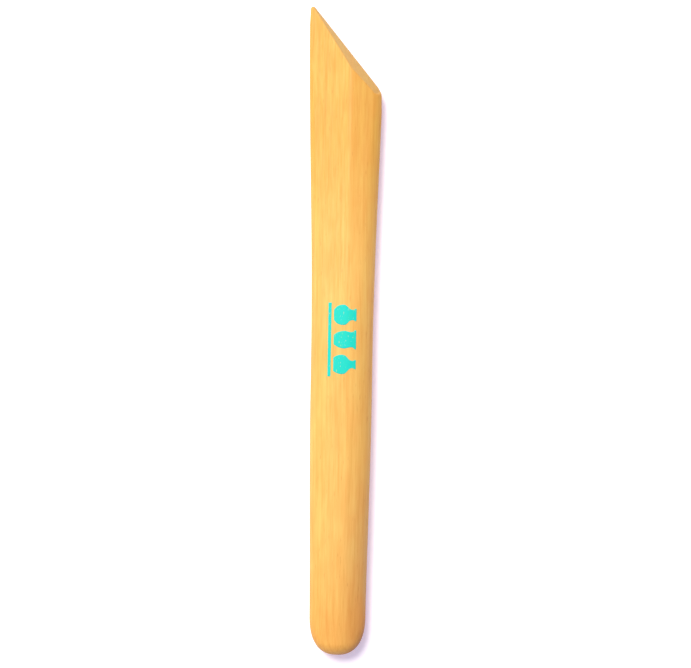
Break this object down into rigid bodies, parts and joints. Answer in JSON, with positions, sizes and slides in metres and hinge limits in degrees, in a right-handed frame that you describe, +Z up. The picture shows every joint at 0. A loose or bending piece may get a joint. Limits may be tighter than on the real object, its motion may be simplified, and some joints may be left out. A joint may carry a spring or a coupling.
{
  "type": "clay modelling tool",
  "caption": "Carved wooden stick for shaping clay: a flat skew knife blade at one end, an oval grip and a blunt rounded heel at the other.",
  "frame": {"origin": "on the tool's long axis, half-way along its length, at the height of the surface that it lies flat on", "axes": "+Z up, out of the printed face; +Y along the tool towards the tip of the blade; +X towards the short side of the slanted cutting edge"},
  "size_m": [0.017, 0.15, 0.0081],
  "materials": {
    "boxwood": "satin",
    "printing_ink": "matte"
  },
  "bodies": {
    "root": {"carved_body": "boxwood", "printed_mark": "printing_ink"}
  },
  "joints": []
}
